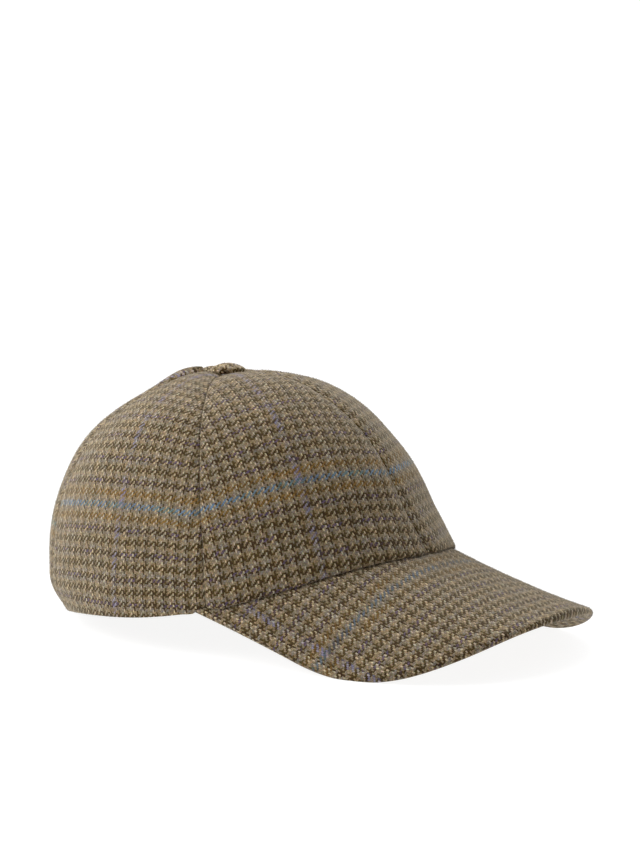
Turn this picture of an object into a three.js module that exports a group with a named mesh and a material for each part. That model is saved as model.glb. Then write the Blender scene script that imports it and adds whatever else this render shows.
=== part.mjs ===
// A wool tweed cap: six crown panels, a stiffened curved peak and a covered button.
// Millimetres, +Z up. The peak points to -Y and the wearer's right is -X.
// It stands as an unworn cap does, on both sides of its peak and on the back of its rim.

import * as THREE from 'three';

// Head opening, measured over the cloth
const HEAD_LENGTH = 206;
const HEAD_WIDTH = 176;
const FRONT_NARROWING = 0.048;

// Crown, above the plane of the rim
const CROWN_HEIGHT = 110.5;
const APEX_SETBACK = 8.5;
const CLOTH = 2.2;
const RIM_DIP = 3.4;
const RIM_DIP_START = 0.015;
const RIM_DIP_PLACE = 0.1;
const RIM_DIP_REACH = 0.26;

// Seams between the panels
const SEAM_GAP = 0.35;
const SEAM_DEPTH = 1.1;
const SEAM_REACH = 3.5;
const SIDE_SEAM_ANGLE = 70;
const BACK_SEAM_ANGLE = 137;
const APEX_OPENING = 7;

// How far each kind of panel swells between its seams
const FRONT_SWELL = 0.2;
const SIDE_SWELL = 0.8;
const BACK_SWELL = 1.2;

// The cloth puffs up beside the button, most at the back
const FRONT_PUFF = 0.2;
const SIDE_PUFF = 1;
const BACK_PUFF = 6;
const PUFF_PLACE = 17;
const PUFF_REACH = 20;
const PUFF_START = 1.2;
const PUFF_FADE = 4;

// Peak
const PEAK_LENGTH = 70;
const PEAK_SIDE_INSET = 5.1;
const PEAK_WIDEST_BEHIND = 20;
const PEAK_SQUARENESS = 2.22;
const PEAK_THICKNESS = 4;
const PEAK_START_HEIGHT = 13;
const PEAK_SLOPE = 27.7;
const PEAK_UPTURN = 7;
const PEAK_ARCH = 44;
const PEAK_ARCH_POWER = 2.42;
const PEAK_ARCH_GROWTH = 0.16;
const PEAK_CORNER_ANGLE = 74.3;
const PEAK_CORNER_WIDTH = 2.4;
const PEAK_CORNER_THICKNESS = 1.8;
const PEAK_CORNER_RUN = 0.12;

// Button
const BUTTON_DIAMETER = 18.4;
const BUTTON_HEIGHT = 5.4;
const BUTTON_EDGE = 2.4;
const BUTTON_GAP = 0.3;

// How far the resting cloth is pressed flat by the cap's own weight
const REST_FLATTENING = 0.6;

// Steps of the faceted surfaces
const PANEL_COLUMNS = 12;
const PANEL_ROWS = 18;
const ROW_CROWDING = 1.25;
const PEAK_COLUMNS = 36;
const PEAK_ROWS = 8;
const EDGE_STEPS = 4;
const OUTLINE_STEPS = 24;
const BUTTON_SIDES = 16;

// How full the crown is at each climb from the rim (0) to the apex (90 degrees),
// as a share of a plain dome on the same rim
const FULLNESS = [
  { climb: 0, front: 1.0, side: 1.0, back: 1.0 },
  { climb: 7.5, front: 0.967, side: 1.002, back: 1.135 },
  { climb: 15, front: 0.94, side: 1.0, back: 1.178 },
  { climb: 30, front: 0.95, side: 1.005, back: 1.247 },
  { climb: 45, front: 0.955, side: 1.075, back: 1.307 },
  { climb: 60, front: 1.0, side: 1.185, back: 1.4 },
  { climb: 75, front: 1.165, side: 1.31, back: 1.475 },
  { climb: 90, front: 1.37, side: 1.42, back: 1.49 },
];

// The panels, from seam to seam round the rim, with 0 at the front and 90 on the wearer's right
const PANELS = [
  { name: 'front_right_panel', from: 0, to: SIDE_SEAM_ANGLE, swell: FRONT_SWELL, puff: FRONT_PUFF },
  { name: 'side_right_panel', from: SIDE_SEAM_ANGLE, to: BACK_SEAM_ANGLE, swell: SIDE_SWELL, puff: SIDE_PUFF },
  { name: 'back_right_panel', from: BACK_SEAM_ANGLE, to: 180, swell: BACK_SWELL, puff: BACK_PUFF },
  { name: 'back_left_panel', from: -180, to: -BACK_SEAM_ANGLE, swell: BACK_SWELL, puff: BACK_PUFF },
  { name: 'side_left_panel', from: -BACK_SEAM_ANGLE, to: -SIDE_SEAM_ANGLE, swell: SIDE_SWELL, puff: SIDE_PUFF },
  { name: 'front_left_panel', from: -SIDE_SEAM_ANGLE, to: 0, swell: FRONT_SWELL, puff: FRONT_PUFF },
];

// Worked out from the sizes above
const HALF_LENGTH = HEAD_LENGTH / 2;
const HALF_WIDTH = HEAD_WIDTH / 2;
const PEAK_HALF_WIDTH = HALF_WIDTH - PEAK_SIDE_INSET;
const CORNER = THREE.MathUtils.degToRad(PEAK_CORNER_ANGLE);
const QUARTER = Math.PI / 2;
const APEX_RUN = HALF_WIDTH * FULLNESS.at(-1).side * QUARTER;
const TOP_SHARE = 1 - APEX_OPENING / 2 / APEX_RUN;
const PUFF_CLEAR = BUTTON_DIAMETER / 2 + PUFF_START;

// Smooth curve through one column of the fullness table
function fullness(column, climb) {
  const last = FULLNESS.length - 1;
  const slope = (i) => {
    const a = FULLNESS[Math.max(i - 1, 0)];
    const b = FULLNESS[Math.min(i + 1, last)];
    return (b[column] - a[column]) / (b.climb - a.climb);
  };
  let i = 0;
  while (i < last - 1 && climb > FULLNESS[i + 1].climb) i += 1;
  const a = FULLNESS[i];
  const b = FULLNESS[i + 1];
  const run = b.climb - a.climb;
  const s = (climb - a.climb) / run;
  const rise = s * s * (3 - 2 * s);
  const tangents = slope(i) * s * (1 - s) ** 2 - slope(i + 1) * s * s * (1 - s);
  return a[column] + (b[column] - a[column]) * rise + run * tangents;
}

// A point of the head opening in plan, moved inwards by a distance
function rimPlan(angle, inward) {
  const narrowing = 1 - FRONT_NARROWING * Math.cos(angle);
  const x = -(HALF_WIDTH * narrowing - inward) * Math.sin(angle);
  const y = -(HALF_LENGTH - inward) * Math.cos(angle);
  return new THREE.Vector2(x, y);
}

// Height of the peak's upper face: a sheet that slopes down ahead, levels off a little
// towards its front and arches across, more so beside the crown
function peakTop(x, y) {
  const behind = y + HALF_LENGTH;
  const slope = Math.tan(THREE.MathUtils.degToRad(PEAK_SLOPE)) * behind;
  const upturn = PEAK_UPTURN * (Math.max(0, -behind) / PEAK_LENGTH) ** 2;
  const depth = PEAK_ARCH * (1 + (PEAK_ARCH_GROWTH * behind) / HALF_LENGTH);
  const arch = depth * (Math.abs(x) / PEAK_HALF_WIDTH) ** PEAK_ARCH_POWER;
  return PEAK_START_HEIGHT + slope + upturn - arch;
}

// Height of the rim: it lies on the peak in front, dips a little behind the peak's corner and
// settles to a level line at the back
function rimHeight(angle, inward) {
  const plan = rimPlan(angle, inward);
  if (Math.abs(angle) <= CORNER) return peakTop(plan.x, plan.y) + SEAM_GAP;
  const corner = rimPlan(CORNER, inward);
  const cornerHeight = peakTop(corner.x, corner.y) + SEAM_GAP;
  const back = (Math.abs(angle) - CORNER) / (Math.PI - CORNER);
  const settle = (1 - back) ** 2 * (1 + 2 * back);
  const begun = THREE.MathUtils.smoothstep(back, 0, RIM_DIP_START);
  const dip = RIM_DIP * begun * Math.exp(-(((back - RIM_DIP_PLACE) / RIM_DIP_REACH) ** 2));
  return cornerHeight * settle - dip;
}

// A point of the crown at an angle round it and a share of the climb, moved inwards by a distance
function crownPoint(angle, share, inward) {
  const climb = share * QUARTER;
  const facing = Math.cos(angle);
  const end = facing > 0 ? 'front' : 'back';
  const degrees = share * 90;
  const side = fullness('side', degrees);
  const full = side + (fullness(end, degrees) - side) * facing * facing;
  const reach = Math.cos(climb) * full;
  const rise = Math.sin(climb);
  const plan = rimPlan(angle, inward);
  const x = plan.x * reach;
  const y = APEX_SETBACK * (1 - reach) + plan.y * reach;
  const z = rimHeight(angle, inward) * (1 - rise) + (CROWN_HEIGHT - inward) * rise;
  return new THREE.Vector3(x, y, z);
}

// A closed shell from two grids of points with the same rows, where upper is the outer face.
// The last row may be one line that both faces share.
function shell(upper, lower, sharedEnd) {
  const columns = upper.length;
  const rows = upper[0].length;
  const positions = [];
  for (const grid of [upper, lower]) {
    for (const column of grid) {
      for (const p of column) positions.push(p.x, p.y, p.z);
    }
  }
  const outer = (i, j) => i * rows + j;
  const inner = (i, j) => (sharedEnd && j === rows - 1 ? outer(i, j) : (columns + i) * rows + j);
  const index = [];
  const face = (a, b, c) => {
    if (a !== b && b !== c && c !== a) index.push(a, b, c);
  };
  const quad = (a, b, c, d) => {
    face(a, b, c);
    face(a, c, d);
  };
  for (let i = 0; i < columns - 1; i += 1) {
    for (let j = 0; j < rows - 1; j += 1) {
      quad(outer(i, j), outer(i, j + 1), outer(i + 1, j + 1), outer(i + 1, j));
      quad(inner(i, j), inner(i + 1, j), inner(i + 1, j + 1), inner(i, j + 1));
    }
    quad(outer(i, 0), outer(i + 1, 0), inner(i + 1, 0), inner(i, 0));
    quad(outer(i, rows - 1), inner(i, rows - 1), inner(i + 1, rows - 1), outer(i + 1, rows - 1));
  }
  for (let j = 0; j < rows - 1; j += 1) {
    quad(outer(0, j), inner(0, j), inner(0, j + 1), outer(0, j + 1));
    quad(outer(columns - 1, j), outer(columns - 1, j + 1), inner(columns - 1, j + 1), inner(columns - 1, j));
  }
  const geometry = new THREE.BufferGeometry();
  geometry.setAttribute('position', new THREE.Float32BufferAttribute(positions, 3));
  geometry.setIndex(index);
  return geometry;
}

// One crown panel: it swells between its seams, puffs up beside the button and is pressed in
// beside its seams
function panelGeometry({ from, to, swell, puff }) {
  const start = THREE.MathUtils.degToRad(from);
  const end = THREE.MathUtils.degToRad(to);
  const upper = [];
  const lower = [];
  for (let i = 0; i <= PANEL_COLUMNS; i += 1) {
    const across = (1 - Math.cos((Math.PI * i) / PANEL_COLUMNS)) / 2;
    const outside = [];
    const inside = [];
    for (let j = 0; j <= PANEL_ROWS; j += 1) {
      const share = TOP_SHARE * (1 - (1 - j / PANEL_ROWS) ** ROW_CROWDING);
      const width = crownPoint(start, share, 0).distanceTo(crownPoint(end, share, 0));
      const gapShare = SEAM_GAP / 2 / width;
      const angle = THREE.MathUtils.lerp(start, end, gapShare + across * (1 - 2 * gapShare));
      const fromSeam = width * Math.min(across, 1 - across);
      const apexFade = Math.min(1, width / (BUTTON_DIAMETER * 2));
      const groove = SEAM_DEPTH * apexFade * Math.exp(-((fromSeam / SEAM_REACH) ** 2));
      const plain = crownPoint(angle, share, 0);
      const toApex = Math.hypot(plain.x, plain.y - APEX_SETBACK);
      const clear = THREE.MathUtils.smoothstep(toApex, PUFF_CLEAR, PUFF_CLEAR + PUFF_FADE);
      const beside = clear * Math.exp(-(((toApex - PUFF_PLACE) / PUFF_REACH) ** 2));
      const full = 4 * across * (1 - across) * (swell * Math.sin(Math.PI * share ** 1.6) + puff * beside);
      outside.push(crownPoint(angle, share, groove - full));
      inside.push(crownPoint(angle, share, groove - full + CLOTH));
    }
    upper.push(outside);
    lower.push(inside);
  }
  return shell(upper, lower, false);
}

// The right half of the peak's outer edge in plan: a gentle curve from the crown to the
// widest place, then a squared oval to the middle of the front
function peakSide() {
  const corner = rimPlan(CORNER, CLOTH - PEAK_CORNER_WIDTH);
  const widest = -HALF_LENGTH + PEAK_WIDEST_BEHIND;
  const bend = 2 / PEAK_SQUARENESS;
  const points = [];
  for (let i = 0; i < OUTLINE_STEPS; i += 1) {
    const back = 1 - i / OUTLINE_STEPS;
    const x = -PEAK_HALF_WIDTH + (PEAK_HALF_WIDTH + corner.x) * back * back;
    points.push(new THREE.Vector2(x, THREE.MathUtils.lerp(widest, corner.y, back)));
  }
  for (let i = 0; i <= OUTLINE_STEPS; i += 1) {
    const turn = QUARTER * (1 - i / OUTLINE_STEPS);
    const x = -PEAK_HALF_WIDTH * Math.sin(turn) ** bend;
    const y = widest - (PEAK_LENGTH + PEAK_WIDEST_BEHIND) * Math.cos(turn) ** bend;
    points.push(new THREE.Vector2(x, y));
  }
  return points;
}

// The whole outer edge, as points evenly spaced along it from right to left
function peakEdge(count) {
  const right = peakSide();
  const left = right.slice(0, -1).map((p) => new THREE.Vector2(-p.x, p.y));
  return new THREE.SplineCurve([...right, ...left.reverse()]).getSpacedPoints(count);
}

// The peak's upper face moved down along its own normal
function peakPoint(x, y, depth) {
  const step = 0.01;
  const slopeX = (peakTop(x + step, y) - peakTop(x - step, y)) / (2 * step);
  const slopeY = (peakTop(x, y + step) - peakTop(x, y - step)) / (2 * step);
  const normal = new THREE.Vector3(-slopeX, -slopeY, 1).normalize();
  return new THREE.Vector3(x, y, peakTop(x, y)).addScaledVector(normal, -depth);
}

// The peak: a plate with a rounded outer edge whose inner edge lies under the crown's cloth
function peakGeometry() {
  const edge = peakEdge(PEAK_COLUMNS);
  const upper = [];
  const lower = [];
  for (let i = 0; i <= PEAK_COLUMNS; i += 1) {
    const along = i / PEAK_COLUMNS;
    const angle = THREE.MathUtils.lerp(CORNER, -CORNER, along);
    const root = rimPlan(angle, CLOTH);
    const end = edge[i];
    const outward = end.clone().sub(root).normalize();
    const toCorner = Math.min(1, Math.min(along, 1 - along) / PEAK_CORNER_RUN);
    const thickness = THREE.MathUtils.lerp(PEAK_CORNER_THICKNESS, PEAK_THICKNESS, Math.sqrt(toCorner));
    const radius = thickness / 2;
    const rim = end.clone().addScaledVector(outward, -radius);
    const above = [];
    const below = [];
    for (let j = 0; j < PEAK_ROWS; j += 1) {
      const p = root.clone().lerp(rim, j / PEAK_ROWS);
      above.push(peakPoint(p.x, p.y, 0));
      below.push(peakPoint(p.x, p.y, thickness));
    }
    for (let j = 0; j <= EDGE_STEPS; j += 1) {
      const turn = (QUARTER * j) / EDGE_STEPS;
      const p = rim.clone().addScaledVector(outward, radius * Math.sin(turn));
      above.push(peakPoint(p.x, p.y, radius * (1 - Math.cos(turn))));
      below.push(peakPoint(p.x, p.y, radius * (1 + Math.cos(turn))));
    }
    upper.push(above);
    lower.push(below);
  }
  return shell(upper, lower, true);
}

// The button: a low dome with a rounded edge
function buttonGeometry() {
  const radius = BUTTON_DIAMETER / 2;
  const profile = new THREE.Path();
  profile.moveTo(0, 0);
  profile.lineTo(radius - BUTTON_EDGE, 0);
  profile.absarc(radius - BUTTON_EDGE, BUTTON_EDGE, BUTTON_EDGE, -QUARTER, QUARTER / 2, false);
  profile.quadraticCurveTo(radius / 2, BUTTON_HEIGHT, 0, BUTTON_HEIGHT);
  return new THREE.LatheGeometry(profile.getPoints(EDGE_STEPS), BUTTON_SIDES).rotateX(QUARTER);
}

// All points of a geometry
function pointsOf(geometry) {
  const position = geometry.getAttribute('position');
  return Array.from({ length: position.count }, (_, i) => new THREE.Vector3().fromBufferAttribute(position, i));
}

// The lowest of some points once the front of the cap is tipped up by an angle
function lowest(points, tip) {
  return points.reduce((low, p) => Math.min(low, p.z * Math.cos(tip) - p.y * Math.sin(tip)), Infinity);
}

// The tip at which the peak's sides and the back of the rim are level
function restingTip(peakPoints, backPoints) {
  let low = 0;
  let high = QUARTER / 2;
  for (let i = 0; i < 50; i += 1) {
    const middle = (low + high) / 2;
    if (lowest(peakPoints, middle) < lowest(backPoints, middle)) low = middle;
    else high = middle;
  }
  return (low + high) / 2;
}

// The sub-part as it rests: tipped, lowered on to the surface and pressed flat where it meets it
function settle(geometry, resting) {
  geometry.applyMatrix4(resting);
  const position = geometry.getAttribute('position');
  for (let i = 0; i < position.count; i += 1) position.setZ(i, Math.max(0, position.getZ(i)));
  return geometry;
}

// A named sub-part in its own piece of cloth
function clothMesh(name, geometry, color) {
  const mesh = new THREE.Mesh(geometry, new THREE.MeshStandardMaterial({ color, roughness: 0.95, metalness: 0 }));
  mesh.name = name;
  return mesh;
}

const panels = PANELS.map((panel) => ({ name: panel.name, geometry: panelGeometry(panel) }));
const peak = peakGeometry();
const backPoints = panels.flatMap(({ geometry }) => pointsOf(geometry)).filter((p) => p.y > 0);
const tip = restingTip(pointsOf(peak), backPoints);

const resting = new THREE.Matrix4().makeRotationX(-tip);
const tipped = new THREE.Box3();
for (const geometry of [peak, ...panels.map((panel) => panel.geometry)]) {
  for (const p of pointsOf(geometry)) tipped.expandByPoint(p.applyMatrix4(resting));
}
const middle = tipped.getCenter(new THREE.Vector3());
resting.premultiply(new THREE.Matrix4().makeTranslation(-middle.x, -middle.y, -tipped.min.z - REST_FLATTENING));

const cap = new THREE.Group();
for (const { name, geometry } of panels) cap.add(clothMesh(name, settle(geometry, resting), 0x8a7a60));
cap.add(clothMesh('peak', settle(peak, resting), 0x85755a));

const button = clothMesh('button', buttonGeometry(), 0x7a6a50);
button.position.set(0, APEX_SETBACK, CROWN_HEIGHT + BUTTON_GAP).applyMatrix4(resting);
button.rotation.x = -tip;
cap.add(button);

export default cap;
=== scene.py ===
"""A wool tweed cap: six crown panels, a stiffened peak and a covered button, resting on a pale floor."""
import math

import bpy
import numpy as np
from mathutils import Matrix, Vector


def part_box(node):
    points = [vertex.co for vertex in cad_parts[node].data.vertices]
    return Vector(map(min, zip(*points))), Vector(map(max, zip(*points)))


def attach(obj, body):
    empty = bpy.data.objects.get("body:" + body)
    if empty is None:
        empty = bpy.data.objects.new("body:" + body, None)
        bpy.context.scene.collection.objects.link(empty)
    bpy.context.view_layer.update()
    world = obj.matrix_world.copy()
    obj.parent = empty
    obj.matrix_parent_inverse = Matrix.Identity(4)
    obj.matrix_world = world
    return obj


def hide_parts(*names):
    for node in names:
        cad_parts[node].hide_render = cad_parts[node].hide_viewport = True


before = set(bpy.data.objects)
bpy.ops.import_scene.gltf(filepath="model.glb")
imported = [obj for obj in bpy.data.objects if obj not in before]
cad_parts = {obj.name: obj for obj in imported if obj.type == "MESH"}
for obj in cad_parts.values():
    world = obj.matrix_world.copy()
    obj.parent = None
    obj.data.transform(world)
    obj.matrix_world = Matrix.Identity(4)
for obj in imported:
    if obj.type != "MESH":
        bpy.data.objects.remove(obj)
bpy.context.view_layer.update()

MM = 0.001
QUARTER = math.pi / 2

# The crown
HEAD_LENGTH = 206 * MM
HEAD_WIDTH = 176 * MM
FRONT_NARROWING = 0.048
CROWN_HEIGHT = 110.5 * MM
APEX_SETBACK = 8.5 * MM
APEX_OPENING = 5 * MM
CLOTH = 2.2 * MM
RIM_DIP = 3.4 * MM
RIM_DIP_LEAD = math.radians(3)
RIM_DIP_PLACE = 0.1
RIM_DIP_REACH = 0.26
SIDE_SEAM_ANGLE = 70
BACK_SEAM_ANGLE = 137

# The peak
PEAK_LENGTH = 70 * MM
PEAK_SIDE_INSET = 5.1 * MM
PEAK_WIDEST_BEHIND = 20 * MM
PEAK_SQUARENESS = 2.22
PEAK_THICKNESS = 4 * MM
PEAK_START_HEIGHT = 13 * MM
PEAK_SLOPE = math.radians(27.7)
PEAK_UPTURN = 7 * MM
PEAK_ARCH = 44 * MM
PEAK_ARCH_POWER = 2.42
PEAK_ARCH_GROWTH = 0.16
PEAK_CORNER_ANGLE = math.radians(74.3)
PEAK_CORNER_WIDTH = 2.4 * MM
PEAK_CORNER_THICKNESS = 1.8 * MM
PEAK_CORNER_RUN = 0.12
PEAK_TOP_WAVES = 0.6
PEAK_UNDER_WAVES = 0.4

# The button, and how high and round the solid one is, which shows where the cap lies
BUTTON_RADIUS = 9.2 * MM
BUTTON_HEIGHT = 5.8 * MM
BUTTON_EDGE = 1.8 * MM
SOLID_BUTTON_HEIGHT = 5.4 * MM
SOLID_BUTTON_EDGE = 2.4 * MM
BUTTON_GAP = 0.3 * MM
BUTTON_ASIDE = (0.8 * MM, -1.1 * MM, -0.5 * MM)
BUTTON_LEAN = math.radians(5)
BUTTON_PLEATS = 19
BUTTON_PLEAT_DEPTH = 0.22 * MM
BUTTON_PLEAT_PLACE = 0.4
BUTTON_PLEAT_DRIFT = 0.6
BUTTON_PLEAT_DRIFTS = 5
BUTTON_LEAST_SHARE = 0.02
BUTTON_LEAST_RADIUS = 0.02 * MM
BUTTON_OVERCHECK = (23 * MM, 17 * MM, 0.0)

# The puffed cloth round the button
PUFF_PLACE = 17 * MM
PUFF_REACH = 20 * MM
PUFF_START = -0.9 * MM
PUFF_FADE = 2.2 * MM

# How the cloth lies at seams and free edges
SEAM_DEPTH = 0.85 * MM
SEAM_REACH = 3.5 * MM
SEAM_ROUNDING = 1.1 * MM
SEAM_LIFT = 0.25 * MM
SEAM_LIFT_PLACE = 2.2
SEAM_LIFT_SPREAD = 0.9
SEAM_CLEARANCE = 0.04 * MM
NARROW_PANEL = 4 * BUTTON_RADIUS
ROUNDINGS_IN_WIDTH = 6
SWELL_POWER = 1.6
PUCKER_DEPTH = 0.16 * MM
PUCKER_REACH = 5 * MM
PUCKER_PITCH = 9 * MM
PUCKER_SHIFT = 5
PUCKER_DRIFT = 0.7
PUCKER_DRIFT_SHIFT = 3
PUCKER_DRIFT_DEPTH = 2
PUCKER_FAR_SIDE = 2
RIM_GAP = -0.2 * MM
SEWN_ROUNDING = 3.0 * MM
SEWN_SWELL = 1.8 * MM
SEWN_SWELL_HEIGHT = 12 * MM
SEWN_SWELL_FADE = math.radians(5)
RIM_ROUNDING = 1.5 * MM
BACK_ROUNDING = 3.2 * MM
BACK_ROUNDING_FROM = math.radians(92)
BACK_ROUNDING_RUN = math.radians(60)
SEWN_FADE = math.radians(12)
HEM_HEIGHT = 15 * MM
HEM_STEP = 2 * MM
HEM_FOLD = 0.9 * MM
HEM_ROWS = 9
HEM_CLOSE_ROWS = 2.4 * MM
HEM_LAST_ROWS = (3.4 * MM, 4.6 * MM)
UNEVENNESS = 0.35 * MM
UNEVEN_WAVE = 42 * MM
UNEVEN_WAVES = 14
UNEVEN_SPREAD = (0.6, 1.6)
UNEVEN_SEED = 7

# How the cap rests
REST_TIP = math.radians(8.714)

# How finely the cloth is modelled
PANEL_COLUMNS = 96
PANEL_ROWS = 112
PEAK_COLUMNS = 190
PEAK_ROWS = 56
EDGE_STEPS = 10
OUTLINE_STEPS = 60
BUTTON_SIDES = 152
BUTTON_UNDER_ROWS = 6
BUTTON_EDGE_ROWS = 11
BUTTON_DOME_ROWS = 13
ARCH_STEPS = 32
SLOPE_STEPS = 400
SLOPE_STEP = 0.01 * MM

# How full the crown is at each climb in degrees, as a share of a plain dome on the same rim
FRONT, SIDE, BACK = 1, 2, 3
FULLNESS = np.array([
    # climb, front, side, back
    (0.0, 1.0, 1.0, 1.0),
    (7.5, 0.967, 1.002, 1.135),
    (15.0, 0.94, 1.0, 1.178),
    (30.0, 0.95, 1.005, 1.247),
    (45.0, 0.955, 1.075, 1.307),
    (60.0, 1.0, 1.185, 1.4),
    (75.0, 1.165, 1.31, 1.475),
    (90.0, 1.37, 1.42, 1.49),
])

# The panels, with how each swells and puffs up and where its overcheck crosses, in mm
PANELS = [
    # name, from and to in degrees round from the front, swell, puff, across, up, slope of lean
    ("front_right_panel", 0, SIDE_SEAM_ANGLE, 0.2, 0.2, -6.0, 45.2, 0.0),
    ("side_right_panel", SIDE_SEAM_ANGLE, BACK_SEAM_ANGLE, 0.8, 2.8, 6.8, 52.9, -0.08),
    ("back_right_panel", BACK_SEAM_ANGLE, 180, 1.2, 6.0, 3.0, 56.0, -0.08),
    ("back_left_panel", -180, -BACK_SEAM_ANGLE, 1.2, 6.0, -5.0, 55.0, 0.08),
    ("side_left_panel", -BACK_SEAM_ANGLE, -SIDE_SEAM_ANGLE, 0.8, 2.8, 6.0, 51.0, 0.1),
    ("front_left_panel", -SIDE_SEAM_ANGLE, 0, 0.2, 0.2, 5.0, 47.0, 0.02),
]
PEAK_OVERCHECK = (-87 * MM, 63.7 * MM, 0.0)

# Sizes that follow from those above
HALF_LENGTH = HEAD_LENGTH / 2
HALF_WIDTH = HEAD_WIDTH / 2
PEAK_HALF_WIDTH = HALF_WIDTH - PEAK_SIDE_INSET
TOP_SHARE = 1 - APEX_OPENING / 2 / (HALF_WIDTH * FULLNESS[-1, SIDE] * QUARTER)
CLIMB_LENGTH = CROWN_HEIGHT * QUARTER
BUTTON_PLACE = (0, APEX_SETBACK, CROWN_HEIGHT + BUTTON_GAP)


def eased(share):
    """A share from 0 to 1 that starts and ends gently."""
    return share * share * (3 - 2 * share)


def fullness(column, climb):
    """Smooth curve through one column of the fullness table."""
    x, y = FULLNESS[:, 0], FULLNESS[:, column]
    first = (y[1] - y[0]) / (x[1] - x[0])
    last = (y[-1] - y[-2]) / (x[-1] - x[-2])
    slopes = np.concatenate([[first], (y[2:] - y[:-2]) / (x[2:] - x[:-2]), [last]])
    i = np.clip(np.searchsorted(x, climb) - 1, 0, len(x) - 2)
    run = x[i + 1] - x[i]
    s = (climb - x[i]) / run
    tangents = slopes[i] * s * (1 - s) ** 2 - slopes[i + 1] * s * s * (1 - s)
    return y[i] + (y[i + 1] - y[i]) * eased(s) + run * tangents


def rim_plan(angle, inward):
    """A point of the head opening in plan, moved inwards by a distance."""
    narrowing = 1 - FRONT_NARROWING * np.cos(angle)
    return -(HALF_WIDTH * narrowing - inward) * np.sin(angle), -(HALF_LENGTH - inward) * np.cos(angle)


def peak_top(x, y):
    """Height of the peak's upper face: a sheet that slopes down ahead and arches across."""
    behind = y + HALF_LENGTH
    upturn = PEAK_UPTURN * (np.maximum(0, -behind) / PEAK_LENGTH) ** 2
    depth = PEAK_ARCH * (1 + PEAK_ARCH_GROWTH * behind / HALF_LENGTH)
    arch = depth * (np.abs(x) / PEAK_HALF_WIDTH) ** PEAK_ARCH_POWER
    return PEAK_START_HEIGHT + math.tan(PEAK_SLOPE) * behind + upturn - arch


def rim_height(angle, inward):
    """Height of the rim: it lies on the peak in front, laps over the peak's corner, dips a little
    behind it and settles to a level line at the back."""
    front = peak_top(*rim_plan(angle, inward)) + RIM_GAP
    corner = peak_top(*rim_plan(PEAK_CORNER_ANGLE, inward)) + RIM_GAP
    back = np.clip((np.abs(angle) - PEAK_CORNER_ANGLE) / (math.pi - PEAK_CORNER_ANGLE), 0, 1)
    past = np.clip((np.abs(angle) - PEAK_CORNER_ANGLE) / RIM_DIP_LEAD + 1, 0, 1)
    dip = RIM_DIP * eased(past) * np.exp(-((back - RIM_DIP_PLACE) / RIM_DIP_REACH) ** 2)
    behind = corner * (1 - back) ** 2 * (1 + 2 * back)
    return np.where(np.abs(angle) <= PEAK_CORNER_ANGLE, front, behind) - dip


def crown_point(angle, share, inward=0.0):
    """Points of the crown at angles round it and shares of the climb, moved inwards by distances."""
    facing = np.cos(angle)
    degrees = share * 90
    side = fullness(SIDE, degrees)
    end = np.where(facing > 0, fullness(FRONT, degrees), fullness(BACK, degrees))
    reach = np.cos(share * QUARTER) * (side + (end - side) * facing ** 2)
    rise = np.sin(share * QUARTER)
    x, y = rim_plan(angle, inward)
    height = rim_height(angle, inward) * (1 - rise) + (CROWN_HEIGHT - inward) * rise
    return np.stack([x * reach, APEX_SETBACK * (1 - reach) + y * reach, height], -1)


def tipped(points):
    """Points of the cap as worn, turned to how it rests."""
    x, y, z = np.moveaxis(points, -1, 0)
    c, s = math.cos(REST_TIP), math.sin(REST_TIP)
    return np.stack([x, y * c + z * s, z * c - y * s], -1)


def unroll(points):
    """Lays a grid of points flat as cloth, with its middle column straight: distances to the right
    and down the rows. Each row turns in the flat by as much as it turns in the surface."""
    middle = len(points) // 2
    along = np.gradient(points, axis=0)
    down = np.gradient(points, axis=1)
    tangent = along / np.linalg.norm(along, axis=-1, keepdims=True)
    normal = np.cross(along, down)
    normal /= np.linalg.norm(normal, axis=-1, keepdims=True)
    bend = (np.gradient(tangent, axis=0) * np.cross(normal, tangent)).sum(-1)
    turned = np.cumsum(np.vstack([0 * bend[:1], (bend[1:] + bend[:-1]) / 2]), axis=0)
    grain = down[middle] / np.linalg.norm(down[middle], axis=-1, keepdims=True)
    start = np.arcsin(np.clip((tangent[middle] * grain).sum(-1), -1, 1))
    heading = turned - turned[middle] + start
    steps = np.linalg.norm(np.diff(points, axis=0), axis=-1)
    between = (heading[1:] + heading[:-1]) / 2
    flat = []
    for part in (np.cos(between), np.sin(between)):
        run = np.cumsum(np.vstack([0 * steps[:1], steps * part]), axis=0)
        flat.append(run - run[middle])
    length = np.linalg.norm(np.diff(points[middle], axis=0), axis=-1)
    return flat[0], flat[1] + np.concatenate([[0], np.cumsum(length)])


def unevenness(points):
    """A slight hand-made unevenness of the cloth, the same on both sides of a seam."""
    rng = np.random.default_rng(UNEVEN_SEED)
    total = np.zeros(points.shape[:-1])
    for _ in range(UNEVEN_WAVES):
        direction = rng.normal(size=3)
        direction *= rng.uniform(*UNEVEN_SPREAD) * 2 * math.pi / UNEVEN_WAVE / np.linalg.norm(direction)
        total += np.sin(points @ direction + rng.uniform(0, 2 * math.pi))
    return UNEVENNESS * total / math.sqrt(UNEVEN_WAVES)


def round_over(distance, radius):
    """How far a folded edge drops at a distance from where it ends."""
    near = np.clip(radius - distance, 0, radius)
    return radius - np.sqrt(radius ** 2 - near ** 2)


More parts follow.
